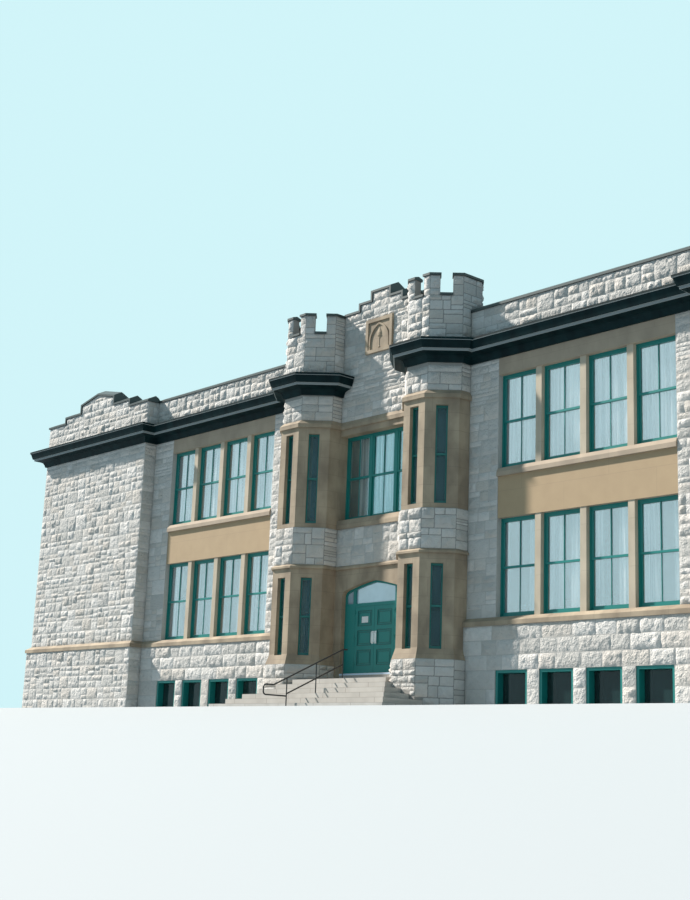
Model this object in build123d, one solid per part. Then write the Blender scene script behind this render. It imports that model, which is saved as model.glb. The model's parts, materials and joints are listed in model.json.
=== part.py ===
from build123d import *
import math
import os

# School building of rock-faced limestone with sandstone dressings: two wings with
# pavilions at their ends, and a centre bay between two crenellated octagonal turrets.
# Millimetres. X runs along the front, Y into the building, Z up from the ground.
# Y = 0 is the face of the front wing walls and X = 0 is the middle of the doorway.

# Plan of the main walls
wall = 560
depth = 18000
wing_end = 11890
pavilion_end = 18950
pavilion_step = 490
parapet_wall = 560

# Window groups: four windows between sandstone mullions
windows_in_group = 4
window_width = 1305
mullion_width = 200
front_group_middle = 7854
side_group_middle = 4200
basement_window_width = 1110

# The base stands proud of the walls, and the sandstone course above overhangs it
base_proud = 120
course_overhang = 50

# Heights of the main walls, from the ground up
basement_sill = 150
basement_window_height = 994
course_bottom = 2328
course_height = 233
lower_window_height = 2700
spandrel_height = 1151
upper_window_height = 2667
lintel_height = 582
wing_parapet_height = 1548

# Sandstone sections: how far the noses project, and how far back the plain faces lie
nose = 60
nose_lip = 120
spandrel_recess = 20
mullion_recess = 40
mullion_depth = 340

# Timber windows: casing, two sliding sashes and one sheet of glass between them
reveal = 170
casing_face = 50
casing_depth = 122
stile = 55
rail = 60
bottom_rail = 85
sash_depth = 41
glass_thickness = 10
basement_reveal = 30
basement_casing_depth = 260
basement_glass_setback = 40

# Floors: a slab's top lies below the first course, or above the heads of the first windows
basement_slab = 150
floor_slab = 250
first_floor_drop = 628
second_floor_rise = 523
vestibule_depth = 2640
entrance_slab = 200
curb = 150

# Turrets: octagon plan with a front face, two cants and two returns
turret_middle = 2759
turret_front = -1045
turret_face = 850
turret_cant_run = 686
turret_return = 776
turret_wall = 260
slot_width = 340
slot_reveal = 118
slot_casing = 45

# Turrets: how far each stage stands forward of the crown
base_forward = 150
lower_forward = 145
band_forward = 120
upper_forward = 80

# Turrets: heights of the stages
turret_base_height = 1426
turret_base_nose = 97
turret_foot_nose = 100
turret_foot_height = 300
turret_string = 117
turret_band = 1144
turret_upper_stage = 3153
turret_upper_string = 242
slot_sill_rise = 274
slot_head = 281
upper_slot_sill_rise = 136
upper_head_drop = 194
crown_height = 1989
merlon_height = 601
crown_wall = 240
crenel_width = 370
cap_ridge = 50
ridge_flat = 20

# Centre bay between the turrets
centre_face = 30
threshold_top = 1193
door_jamb_width = 338
arch_rise = 445
arch_cover = 389
arch_small_radius = 200
arch_steepness = 1.3
centre_sill_height = 283
centre_reveal = 300
centre_windows = 3
centre_mullion = 110
relief_half_width = 587
relief_above_wall = 1096
relief_height = 1106
relief_depth = 80
relief_border = 110

# Centre parapet: height above the wall, then each step's setback and rise
centre_parapet_height = 2646
centre_steps = [(658, 230), (1198, 526)]

# Pavilion parapets: half widths and rises above the wing parapet, then the low gable
gable_steps = [(2330, 238), (1212, 568)]
gable_rise = 260

# Cornice section: distance out from the wall and height above the wall top
cornice_section = [
    (0, -100), (60, -100), (90, 0), (130, 66), (185, 96), (390, 146), (395, 206),
    (440, 216), (500, 406), (530, 436), (530, 504), (0, 546),
]

# Saddle-backed sheet copings
coping = 70
coping_nose = 50
coping_ridge = 170

# Entrance steps, each tread wider than the one above it
step_count = 6
step_run = 350
step_growth = 345
landing_top = 955
landing_half = 2000
landing_front = -1200

# Handrail of bent pipe
pipe_radius = 21
rail_height = 860
lower_rail_height = 405
post_places = [-1009, -2008, -3065]
rail_run_on = 466
rail_end = 820
loop_height = 280
rail_bend = 90
rail_return = 150
post_radius = 17
flange_radius = 60
flange_thickness = 10

# Entrance doors
frame_front = 180
frame_depth = 90
side_panel = 456
arch_spring_rise = 209
leaf_gap = 5
leaf_height = 1979
leaf_thickness = 45
meeting_gap = 8
leaf_foot_gap = 8
post_width = 105
frame_edge = 60
transom = 98
leaf_stile = 115
leaf_rails = [230, 120, 120, 120]
panel_recess = 12
hinge_radius = 8
hinge_stand = 12
pin_radius = 4
pin_gap = 0.3
hinge_height = 110
hinge_heights = [220, 990, 1760]
pull_width = 80
pull_height = 370
pull_middle = 860
pull_plate = 6
pull_reach = 55
pull_bar = 12

# Heights worked out from the sizes above
basement_head = basement_sill + basement_window_height
course_top = course_bottom + course_height
lower_head = course_top + lower_window_height
upper_sill_bottom = lower_head + spandrel_height
upper_sill_top = upper_sill_bottom + course_height
upper_head = upper_sill_top + upper_window_height
wall_top = upper_head + lintel_height
parapet_top = wall_top + wing_parapet_height
first_floor_top = course_bottom - first_floor_drop
second_floor_top = lower_head + second_floor_rise
leaf_top = threshold_top + leaf_foot_gap + leaf_height
arch_spring = leaf_top + leaf_gap + transom + arch_spring_rise
foot_top = turret_base_height + turret_foot_height
string_bottom = arch_spring + arch_rise + arch_cover
string_top = string_bottom + turret_string
band_top = string_top + turret_band
upper_string_bottom = band_top + turret_upper_stage
upper_string_top = upper_string_bottom + turret_upper_string
upper_head_top = upper_string_bottom - upper_head_drop
centre_sill_top = band_top + centre_sill_height
crenel_sill = wall_top + crown_height
crown_top = crenel_sill + merlon_height
relief_bottom = wall_top + relief_above_wall

# Plan places worked out from the sizes above
pitch = window_width + mullion_width
group_half = (windows_in_group * pitch - mullion_width) / 2
course_nose = base_proud + course_overhang
turret_half = turret_face / 2 + turret_cant_run
turret_corner = turret_front + turret_cant_run
bay_half = turret_middle - turret_half
doorway_half = bay_half - door_jamb_width
leaf_half = doorway_half - side_panel
wing_start = turret_middle + turret_half
side_front = wall - pavilion_step
side_back = depth - wall
side_middle = (side_front + side_back) / 2
side_half = (side_back - side_front) / 2
CORNER = math.tan(math.radians(22.5))

# Each wall is drawn facing the front and then turned to its own side
FRONT = Location((0, 0, 0))
BACK = Location((0, depth, 0), (0, 0, 180))
RIGHT = Location((pavilion_end, side_middle, 0), (0, 0, 90))
LEFT = Location((-pavilion_end, side_middle, 0), (0, 0, -90))
OTHER_SIDE = Plane.YZ


def block(x0, x1, y0, y1, z0, z1):
    """A box between two corners."""
    middle = ((x0 + x1) / 2, (y0 + y1) / 2, (z0 + z1) / 2)
    return Pos(*middle) * Box(x1 - x0, y1 - y0, z1 - z0)


def upright(points, z0, z1):
    """A prism that stands on a plan outline."""
    face = Plane.XY.offset(z0) * Polygon(*points, align=None)
    return extrude(face, amount=z1 - z0, dir=(0, 0, 1))


def along_x(points, x0, x1):
    """A prism along X with an outline of (y, z) points."""
    face = Plane.YZ.offset(x0) * Polygon(*points, align=None)
    return extrude(face, amount=x1 - x0, dir=(1, 0, 0))


def along_y(outline, y0, y1):
    """A prism along Y with a flat outline of (x, z)."""
    plane = Plane(origin=(0, y1, 0), x_dir=(1, 0, 0), z_dir=(0, -1, 0))
    return extrude(plane * outline, amount=y1 - y0, dir=(0, -1, 0))


def mirrored(shape):
    """The same piece on the other side of the doorway."""
    return mirror(shape, about=OTHER_SIDE)


def pair(shape):
    """A piece and its mirror image."""
    return [shape, mirrored(shape)]


def save(name, *shapes):
    """Write one node, which may hold several like solids."""
    pieces = [solid for shape in shapes for solid in shape.solids()]
    export_step(Compound(children=pieces), f"parts/{name}.step")


def window_places():
    """Middles of a group's windows, measured from the group's middle."""
    return [(i - (windows_in_group - 1) / 2) * pitch for i in range(windows_in_group)]


def nosed_course(x0, x1, y0, y1, z0, z1, sides, out=nose):
    """A stone course whose top slopes down to a lip on each named side."""
    course = block(x0, x1, y0, y1, z0, z1)
    lip = z0 + nose_lip
    over = z1 + out
    if "front" in sides:
        wedge = [(y0, lip), (y0 + out, z1), (y0 + out, over), (y0 - out, over), (y0 - out, lip)]
        course -= along_x(wedge, x0 - out, x1 + out)
    if "right" in sides:
        wedge = [(x1, lip), (x1 - out, z1), (x1 - out, over), (x1 + out, over), (x1 + out, lip)]
        course -= along_y(Polygon(*wedge, align=None), y0 - out, y1 + out)
    if "left" in sides:
        wedge = [(x0, lip), (x0 + out, z1), (x0 + out, over), (x0 - out, over), (x0 - out, lip)]
        course -= along_y(Polygon(*wedge, align=None), y0 - out, y1 + out)
    return course


def base_wall(s0, s1, groups):
    """The basement wall with its low windows cut through."""
    base = block(s0, s1, -base_proud, wall, 0, course_bottom)
    half = basement_window_width / 2
    through = (-base_proud - 1, wall + 1)
    for group in groups:
        for place in window_places():
            middle = group + place
            base -= block(middle - half, middle + half, *through, basement_sill, basement_head)
    return base


def piers(s0, s1, groups):
    """The rock-faced wall left beside and between the window groups."""
    edges = [s0]
    for group in groups:
        edges += [group - group_half, group + group_half]
    edges.append(s1)
    spans = zip(edges[0::2], edges[1::2])
    return [block(a, b, 0, wall, course_top, wall_top) for a, b in spans]


def window_bands(group):
    """The spandrel with its nosed sill, and the lintel band, of one group."""
    s0, s1 = group - group_half, group + group_half
    spandrel = block(s0, s1, spandrel_recess, wall, lower_head, upper_sill_bottom)
    sill = nosed_course(s0, s1, -nose, wall, upper_sill_bottom, upper_sill_top, ["front"])
    lintel = block(s0, s1, 0, wall, upper_head, wall_top)
    return [spandrel + sill, lintel]


def mullions(group):
    """The sandstone posts between the windows of one group, on both storeys."""
    posts = []
    for left in window_places()[:-1]:
        middle = group + left + pitch / 2
        s0, s1 = middle - mullion_width / 2, middle + mullion_width / 2
        for z0, z1 in ((course_top, lower_head), (upper_sill_top, upper_head)):
            posts.append(block(s0, s1, mullion_recess, mullion_recess + mullion_depth, z0, z1))
    return posts


def sash_window(middle, width, front, z0, z1, panes=1, bar=0):
    """A casing with an outer upper sash and an inner lower sash."""
    s0, s1 = middle - width / 2, middle + width / 2
    meeting = (z0 + z1) / 2
    frame = block(s0, s1, front, front + casing_depth, z0, z1)
    inner = (width - (panes + 1) * casing_face - (panes - 1) * (bar - casing_face)) / panes
    glass = []
    for i in range(panes):
        a = s0 + casing_face + i * (inner + bar)
        b = a + inner
        c, d = z0 + casing_face, z1 - casing_face
        frame -= block(a, b, front - 1, front + casing_depth + 1, c, d)
        sheet_front = front + (casing_depth - glass_thickness) / 2
        upper = block(a, b, sheet_front - sash_depth, sheet_front, meeting - rail / 2, d)
        upper -= block(a + stile, b - stile, front - 1, sheet_front + 1, meeting + rail / 2, d - rail)
        sheet_back = sheet_front + glass_thickness
        lower = block(a, b, sheet_back, sheet_back + sash_depth, c, meeting + rail / 2)
        hole = (c + bottom_rail, meeting - rail / 2)
        lower -= block(a + stile, b - stile, sheet_back - 1, sheet_back + sash_depth + 1, *hole)
        frame += upper + lower
        glass.append(block(a, b, sheet_front, sheet_back, c, d))
    return frame, glass


def basement_window(middle):
    """A plain deep casing with one fixed light near its back."""
    half = basement_window_width / 2
    front = basement_reveal - base_proud
    back = front + basement_casing_depth
    face = casing_face + stile / 2
    frame = block(middle - half, middle + half, front, back, basement_sill, basement_head)
    a, b = middle - half + face, middle + half - face
    c, d = basement_sill + face, basement_head - face
    frame -= block(a, b, front - 1, back + 1, c, d)
    sheet = back - basement_glass_setback
    return frame, block(a, b, sheet, sheet + glass_thickness, c, d)


def group_windows(group):
    """Frames and glass of one group, on both storeys."""
    frames = []
    glass = []
    for place in window_places():
        for z0, z1 in ((course_top, lower_head), (upper_sill_top, upper_head)):
            frame, sheets = sash_window(group + place, window_width, reveal, z0, z1)
            frames.append(frame)
            glass += sheets
    return frames, glass


def group_basement_windows(group):
    """Frames and glass of the basement windows under one group."""
    frames = []
    glass = []
    for place in window_places():
        frame, sheet = basement_window(group + place)
        frames.append(frame)
        glass.append(sheet)
    return frames, glass


def turret_plan(offset, back, forward=0):
    """Plan of a turret stage, moved in and forward, with its legs run back to a line."""
    face = turret_face / 2 - offset * CORNER
    half = turret_half - offset
    corner = turret_corner - forward + offset * CORNER
    front = turret_front - forward + offset
    x = turret_middle
    return [
        (x - half, back), (x - half, corner), (x - face, front),
        (x + face, front), (x + half, corner), (x + half, back),
    ]


def crown_plan(offset):
    """The full octagon of a turret's crown, moved in by an offset."""
    face = turret_face / 2 - offset * CORNER
    half = turret_half - offset
    front = turret_front + offset
    near = turret_corner + offset * CORNER
    far = turret_corner + turret_return - offset * CORNER
    rear = turret_corner + turret_return + turret_cant_run - offset
    x = turret_middle
    return [
        (x - face, front), (x + face, front), (x + half, near), (x + half, far),
        (x + face, rear), (x - face, rear), (x - half, far), (x - half, near),
    ]


def turret_shell(z0, z1, foot, head=None):
    """A stage of the turret's wall; foot and head are how far its face is out and forward."""
    head = head or foot
    reach = wall + 2 * foot[0] + 1
    if foot == head:
        shell = upright(turret_plan(-foot[0], reach, foot[1]), z0, z1)
    else:
        low = Plane.XY.offset(z0) * Polygon(*turret_plan(-foot[0], reach, foot[1]), align=None)
        high = Plane.XY.offset(z1) * Polygon(*turret_plan(-head[0], reach, head[1]), align=None)
        shell = loft([low.face(), high.face()], ruled=True)
    shell -= upright(turret_plan(turret_wall, reach + 1, head[1]), z0 - 1, z1 + 1)
    far = 4 * wall
    wing_face = -base_proud if z1 <= course_bottom else 0
    shell -= block(0, 2 * turret_middle, wall, far, z0 - 1, z1 + 1)
    shell -= block(wing_start, wing_start + far, wing_face, far, z0 - 1, z1 + 1)
    shell -= block(bay_half - wall, bay_half, centre_face, far, z0 - 1, z1 + 1)
    return shell


def string_course(z0, z1, forward, forward_above):
    """A turret string with an upright lip and a top that slopes back to the stage above."""
    lip = (z0 + z1) / 2
    return turret_shell(z0, lip, (nose, forward)) + turret_shell(lip, z1, (nose, forward), (0, forward_above))


def centre_string(z0, z1):
    """The string's nose across the centre bay, between the noses on the turrets."""
    lip = (z0 + z1) / 2
    front = centre_face - nose
    section = [(centre_face, z0), (front, z0), (front, lip), (centre_face, z1)]
    return along_x(section, nose - bay_half, bay_half - nose)


def facet_places(forward):
    """Middle and turn of a stage's front face and its two cants."""
    run = (turret_face + turret_cant_run) / 2
    front = turret_front - forward
    cant_y = front + turret_cant_run / 2
    return [
        Location((turret_middle, front, 0)),
        Location((turret_middle - run, cant_y, 0), (0, 0, -45)),
        Location((turret_middle + run, cant_y, 0), (0, 0, 45)),
    ]


def cut_slots(shell, z0, z1, forward):
    """Cut the narrow window slots through the three outer faces."""
    half = slot_width / 2
    for place in facet_places(forward):
        shell -= place * block(-half, half, -wall / 2, wall, z0, z1)
    return shell


def slot_windows(z0, z1, forward):
    """Frames and glass of the three slots of one stage."""
    frames = []
    glass = []
    for place in facet_places(forward):
        frame, sheets = narrow_sash(z0, z1)
        frames.append(place * frame)
        glass.append(place * sheets)
    return frames, glass


def narrow_sash(z0, z1):
    """A slim one-over-one window for a slot."""
    meeting = (z0 + z1) / 2
    back = slot_reveal + casing_depth
    frame = block(-slot_width / 2, slot_width / 2, slot_reveal, back, z0, z1)
    sheet = slot_reveal + casing_depth / 2
    a, b = slot_casing - slot_width / 2, slot_width / 2 - slot_casing
    glass = []
    for c, d in ((z0 + bottom_rail, meeting - rail / 2), (meeting + rail / 2, z1 - rail)):
        frame -= block(a, b, slot_reveal - 1, back + 1, c, d)
        glass.append(block(a, b, sheet, sheet + glass_thickness, c, d))
    return frame, glass[0] + glass[1]


def crenel_cutters(z0, z1, width):
    """Boxes through the crown's front and rear faces and its four cants."""
    reach = turret_half + 2 * wall
    middle_y = turret_corner + turret_return / 2
    half_length = turret_return / 2 + turret_cant_run
    bars = [Pos(turret_middle, middle_y, 0) * block(-width / 2, width / 2, -reach, reach, z0, z1)]
    run_x = (turret_face + turret_cant_run) / 2
    run_y = half_length - turret_cant_run / 2
    for sx in (-1, 1):
        for sy in (-1, 1):
            bar = block(-width / 2, width / 2, -wall, wall, z0, z1)
            place = Location((turret_middle + sx * run_x, middle_y + sy * run_y, 0), (0, 0, -45 * sx * sy))
            bars.append(place * bar)
    return bars


def turret_crown():
    """The frieze under the cornice, and above the roof the octagonal crown with its merlons."""
    masonry_top = crown_top - coping
    crown = upright(crown_plan(0), wall_top, masonry_top)
    crown -= upright(crown_plan(crown_wall), wall_top - 1, masonry_top + 1)
    for bar in crenel_cutters(crenel_sill - coping, crown_top, crenel_width):
        crown -= bar
    return turret_shell(upper_string_top, wall_top, (0, 0)) + crown


def tapered(offset0, offset1):
    """A crown plan that narrows or widens from the crown's top up to the caps' ridge."""
    foot = Plane.XY.offset(crown_top) * Polygon(*crown_plan(offset0), align=None)
    head = Plane.XY.offset(crown_top + cap_ridge) * Polygon(*crown_plan(offset1), align=None)
    return loft([foot.face(), head.face()], ruled=True)


def turret_caps():
    """Saddle-backed sheet caps on the merlons, and flat ones on the crenel sills."""
    outer, inner = -coping_nose, crown_wall + coping_nose
    ring = upright(crown_plan(outer), crown_top - coping, crown_top)
    ring += tapered(outer, (crown_wall - ridge_flat) / 2)
    ring -= upright(crown_plan(inner), crown_top - coping - 1, crown_top)
    ring -= tapered(inner, (crown_wall + ridge_flat) / 2)
    for bar in crenel_cutters(crown_top - coping - 1, crown_top + 2 * cap_ridge, crenel_width - coping_nose):
        ring -= bar
    sills = upright(crown_plan(outer), crenel_sill - coping, crenel_sill)
    sills -= upright(crown_plan(inner), crenel_sill - coping - 1, crenel_sill + 1)
    bars = crenel_cutters(crenel_sill - coping, crenel_sill, crenel_width)
    bay_depth = (centre_face - coping_nose, centre_face + parapet_wall + coping_nose)
    bay = block(0, bay_half, *bay_depth, wall_top, crown_top + 2 * cap_ridge)
    caps = [ring - bay]
    for bar in bars:
        caps.append((sills & bar) - bay)
    return caps


def cornice(points):
    """The cornice section swept along the wall line, mitred at the corners."""
    path = Polyline(*[(x, y, wall_top) for x, y in points])
    start = Vector(*points[0])
    heading = (Vector(*points[1]) - start).normalized()
    plane = Plane(
        origin=(start.X, start.Y, wall_top),
        x_dir=(heading.Y, -heading.X, 0),
        z_dir=(-heading.X, -heading.Y, 0),
    )
    section = plane * Polygon(*cornice_section, align=None)
    return sweep(section.face(), path=path, transition=Transition.RIGHT)


def arch_outline(inset, bottom):
    """The doorway's outline: jambs and a low four-centred arch, moved in by an inset."""
    half = doorway_half - inset
    small = arch_small_radius - inset
    centre = doorway_half - arch_small_radius
    angle = math.pi / 2 - arch_steepness * math.atan2(arch_rise - arch_small_radius, centre)
    sine, cosine = math.sin(angle), math.cos(angle)
    over = arch_rise ** 2 + centre ** 2 - arch_small_radius ** 2
    under = 2 * (arch_small_radius + centre * cosine - arch_rise * sine)
    step = over / under
    big = small + step
    low_x, low_z = centre - step * cosine, arch_spring - step * sine
    joint = (centre + small * cosine, arch_spring + small * sine)
    apex = (0, low_z + math.sqrt(big ** 2 - low_x ** 2))
    turn = math.atan2(apex[1] - low_z, -low_x)
    middle = (turn + angle) / 2
    big_middle = (low_x + big * math.cos(middle), low_z + big * math.sin(middle))
    small_middle = (centre + small * math.cos(angle / 2), arch_spring + small * math.sin(angle / 2))
    right = [
        Line((0, bottom), (half, bottom)),
        Line((half, bottom), (half, arch_spring)),
        ThreePointArc((half, arch_spring), small_middle, joint),
        ThreePointArc(joint, big_middle, apex),
        Line(apex, (0, bottom)),
    ]
    side = make_face(Wire(right))
    return side + mirror(side, about=Plane.YZ)


def floor_plan():
    """Plan of a storey inside the walls, with the inside of the turrets."""
    inside = block(-pavilion_end + wall, pavilion_end - wall, wall, side_back, 0, 1)
    for end in pair(block(wing_end, pavilion_end - wall, side_front, wall, 0, 1)):
        inside += end
    for bay in pair(upright(turret_plan(turret_wall, wall), 0, 1)):
        inside += bay
    return inside.faces().sort_by(Axis.Z)[0]


def floor(top, thickness):
    """A floor slab over the storey's plan."""
    face = Pos(0, 0, top - thickness) * floor_plan()
    return extrude(face, amount=thickness, dir=(0, 0, 1))


def stepped_wall(levels, front, apex):
    """A parapet wall that steps up to an apex; levels are (half width, height) of its coping."""
    points = [(levels[0][0], wall_top)]
    for i, (half, height) in enumerate(levels):
        if i:
            half -= coping
            points.append((half, levels[i - 1][1] - coping))
        points.append((half, height - coping))
    left = [(-x, z) for x, z in reversed(points)]
    points += [(0, apex - coping)] + left
    return along_y(Polygon(*points, align=None), front, front + parapet_wall)


def saddle(front, x0, x1, top0, top1):
    """A length of saddle-backed coping on a parapet, from one height to another."""
    near, far = front - coping_nose, front + parapet_wall + coping_nose
    ends = []
    for x, top in ((x0, top0), (x1, top1)):
        section = [(near, top - coping), (far, top - coping), (far, top)]
        section += [((near + far) / 2, top + coping_ridge), (near, top)]
        ends.append((Plane.YZ.offset(x) * Polygon(*section, align=None)).face())
    return loft(ends, ruled=True)


def stepped_coping(levels, front, apex, end_nose=0):
    """The coping of a stepped wall, with sheet down its risers."""
    near, far = front - coping_nose, front + parapet_wall + coping_nose
    half, top = levels[-1]
    side = saddle(front, 0, half, apex, top)
    for i in range(len(levels) - 1):
        (outer, low), (inner, high) = levels[i], levels[i + 1]
        if i == 0:
            outer += end_nose
        side += saddle(front, inner, outer, low, low)
        side += block(inner - coping, inner, near, far, low - coping, high)
    return side + mirror(side, about=Plane.YZ)


os.makedirs("parts", exist_ok=True)

# Floors
vestibule_back = wall + vestibule_depth
vestibule_half = bay_half + turret_wall
save("basement_floor", floor(basement_slab, basement_slab))
notch = block(-vestibule_half, vestibule_half, wall, vestibule_back, 0, second_floor_top)
save("first_floor", floor(first_floor_top, floor_slab) - notch)
save("second_floor", floor(second_floor_top, floor_slab))
save("roof_deck", floor(wall_top, floor_slab))

# Vestibule floor at the level of the doors, with curbs up to the first floor
pan_bottom = threshold_top - entrance_slab
pan = block(-vestibule_half, vestibule_half, wall, vestibule_back, pan_bottom, first_floor_top)
hollow = (-vestibule_half + curb, vestibule_half - curb, wall - 1, vestibule_back - curb)
pan -= block(*hollow, threshold_top, first_floor_top + 1)
save("entrance_floor", pan)

# Front wings
wing_groups = [front_group_middle]
front_base = base_wall(wing_start, wing_end, wing_groups)
front_piers = piers(wing_start, wing_end, wing_groups)
save("front_wing_base", *pair(front_base))
save("front_wing_piers", *[solid for pier in front_piers for solid in pair(pier)])
base_ends = (wing_end - base_proud, pavilion_end + base_proud)
pavilion_base = block(*base_ends, -pavilion_step - base_proud, side_front, 0, course_bottom)
pavilion_base -= block(base_ends[0], wing_end, -base_proud, side_front, 0, course_bottom)
pavilion_wall = block(wing_end, pavilion_end, -pavilion_step, side_front, course_top, wall_top)
save("pavilion_walls", *pair(pavilion_base), *pair(pavilion_wall))

# Sides and back
side_groups = [-side_group_middle, side_group_middle]
side_parts = [base_wall(-side_half, side_half, side_groups)]
side_parts += piers(-side_half, side_half, side_groups)
save("side_walls", *[place * part for place in (LEFT, RIGHT) for part in side_parts])
back_groups = [-front_group_middle, 0, front_group_middle]
back_parts = [base_wall(-base_ends[1], base_ends[1], back_groups)]
back_parts += piers(-pavilion_end, pavilion_end, back_groups)
save("back_wall", *[BACK * part for part in back_parts])

# Sandstone course at the first-storey sills, round the whole building
level = (course_bottom, course_top)
wing_course = nosed_course(wing_start, wing_end, -course_nose, wall, *level, ["front"], course_nose)
outer_end = pavilion_end + course_nose
ends = (wing_end - course_nose, outer_end, -pavilion_step - course_nose, side_front)
pavilion_course = nosed_course(*ends, *level, ["front", "left", "right"], course_nose)
save("front_sill_course", *pair(wing_course + pavilion_course))
side_course = nosed_course(-side_half, side_half, -course_nose, wall, *level, ["front"], course_nose)
save("side_sill_course", LEFT * side_course, RIGHT * side_course)
back_ends = (-outer_end, outer_end, -course_nose, wall)
back_course = nosed_course(*back_ends, *level, ["front", "left", "right"], course_nose)
save("back_sill_course", BACK * back_course)

# Stonework and windows of the groups
walls = {
    "front": [(FRONT, -front_group_middle), (FRONT, front_group_middle)],
    "side": [(place, group) for place in (LEFT, RIGHT) for group in side_groups],
    "back": [(BACK, group) for group in back_groups],
}
basement_frames = []
basement_glass = []
for name, groups in walls.items():
    bands = []
    posts = []
    frames = []
    glass = []
    for place, group in groups:
        bands += [place * band for band in window_bands(group)]
        posts += [place * post for post in mullions(group)]
        new_frames, new_glass = group_windows(group)
        frames += [place * frame for frame in new_frames]
        glass += [place * sheet for sheet in new_glass]
        low_frames, low_glass = group_basement_windows(group)
        basement_frames += [place * frame for frame in low_frames]
        basement_glass += [place * sheet for sheet in low_glass]
    save(f"{name}_window_bands", *bands)
    save(f"{name}_mullions", *posts)
    save(f"{name}_window_frames", *frames)
    save(f"{name}_window_glass", *glass)
save("basement_window_frames", *basement_frames)
save("basement_window_glass", *basement_glass)

# Turrets
lower_slots = (turret_base_height + slot_sill_rise, string_bottom - slot_head, lower_forward)
upper_slots = (band_top + upper_slot_sill_rise, upper_head_top, upper_forward)
save("turret_bases", *pair(turret_shell(0, turret_base_height, (turret_base_nose, base_forward))))
lower = turret_shell(turret_base_height, foot_top, (turret_foot_nose, lower_forward), (0, lower_forward))
lower += turret_shell(foot_top, string_bottom, (0, lower_forward))
lower = cut_slots(lower, *lower_slots) + string_course(string_bottom, string_top, lower_forward, band_forward)
save("turret_lower_stages", *pair(lower))
save("turret_bands", *pair(turret_shell(string_top, band_top, (0, band_forward))))
upper = cut_slots(turret_shell(band_top, upper_string_bottom, (0, upper_forward)), *upper_slots)
upper += string_course(upper_string_bottom, upper_string_top, upper_forward, 0)
save("turret_upper_stages", *pair(upper))
save("turret_crowns", *pair(turret_crown()))
save("turret_caps", *[solid for cap in turret_caps() for solid in pair(cap)])

# Centre bay
jamb = block(doorway_half, bay_half, centre_face, wall, 0, arch_spring)
save("door_jambs", *pair(jamb))
save("door_threshold", block(-doorway_half, doorway_half, centre_face, wall, 0, threshold_top))
arch = block(-bay_half, bay_half, centre_face, wall, arch_spring, string_bottom)
arch -= along_y(arch_outline(0, arch_spring - 1), centre_face - 1, wall + 1)
arch += block(-bay_half, bay_half, centre_face, wall, string_bottom, string_top)
arch += centre_string(string_bottom, string_top)
save("door_arch", arch)
save("centre_band", block(-bay_half, bay_half, centre_face, wall, string_top, band_top))
bay = (-bay_half, bay_half)
sill = nosed_course(*bay, centre_face - nose, wall, band_top, centre_sill_top, ["front"])
lintel = block(*bay, centre_face, wall, upper_head_top, upper_string_top)
lintel += centre_string(upper_string_bottom, upper_string_top)
save("centre_window_bands", sill, lintel)
centre_level = wall_top + centre_parapet_height
centre_levels = [(bay_half, centre_level)]
centre_levels += [(bay_half - setback, centre_level + rise) for setback, rise in centre_steps]
centre_wall = block(*bay, centre_face, wall, upper_string_top, wall_top)
centre_wall += stepped_wall(centre_levels, centre_face, centre_levels[-1][1])
save("centre_parapet", centre_wall)

# Generic relief panel: a raised border round a pointed niche
panel_top = relief_bottom + relief_height
panel_front = centre_face - relief_depth
panel = block(-relief_half_width, relief_half_width, panel_front, centre_face, relief_bottom, panel_top)
field_half = relief_half_width - relief_border
field = (relief_bottom + relief_border, panel_top - relief_border)
panel -= block(-field_half, field_half, panel_front - 1, panel_front + relief_depth / 2, *field)
save("relief_panel", panel)

# Centre and turret windows
centre_frame, centre_sheets = sash_window(
    0, 2 * bay_half, centre_face + centre_reveal, centre_sill_top, upper_head_top, centre_windows, centre_mullion)
save("centre_window_frame", centre_frame)
slot_frames = []
slot_glass = []
for slots in (lower_slots, upper_slots):
    frames, glass = slot_windows(*slots)
    slot_frames += frames
    slot_glass += glass
save("turret_window_frames", *[solid for frame in slot_frames for solid in pair(frame)])

# Parapets
masonry_top = parapet_top - coping
save("wing_parapets", *pair(block(wing_start, wing_end, 0, parapet_wall, wall_top, masonry_top)))
pavilion_place = Pos((wing_end + pavilion_end) / 2, 0, 0)
pavilion_levels = [((pavilion_end - wing_end) / 2, parapet_top)]
pavilion_levels += [(half, parapet_top + rise) for half, rise in gable_steps]
apex = pavilion_levels[-1][1] + gable_rise
save("pavilion_parapets", *pair(pavilion_place * stepped_wall(pavilion_levels, -pavilion_step, apex)))
side_run = (parapet_wall - pavilion_step, depth - parapet_wall)
side_parapet = block(pavilion_end - parapet_wall, pavilion_end, *side_run, wall_top, masonry_top)
save("side_parapets", *pair(side_parapet))
back_run = (depth - parapet_wall, depth)
save("back_parapet", block(-pavilion_end, pavilion_end, *back_run, wall_top, masonry_top))

# Copings
wing_coping = saddle(0, wing_start, wing_end, parapet_top, parapet_top)
gable_coping = pavilion_place * stepped_coping(pavilion_levels, -pavilion_step, apex, coping_nose)
ridge_top = parapet_top + coping_ridge
gable_coping -= block(wing_end - coping_nose, wing_end, -coping_nose, parapet_wall, masonry_top, ridge_top)
side_ends = (side_run[0] + coping_nose - side_middle, side_run[1] - coping_nose - side_middle)
side_coping = RIGHT * saddle(0, *side_ends, parapet_top, parapet_top)
back_end = pavilion_end + coping_nose
back_coping = BACK * saddle(0, -back_end, back_end, parapet_top, parapet_top)
centre_coping = stepped_coping(centre_levels, centre_face, centre_levels[-1][1])
save("copings", *pair(wing_coping), *pair(side_coping), back_coping, *pair(gable_coping), centre_coping)

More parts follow.
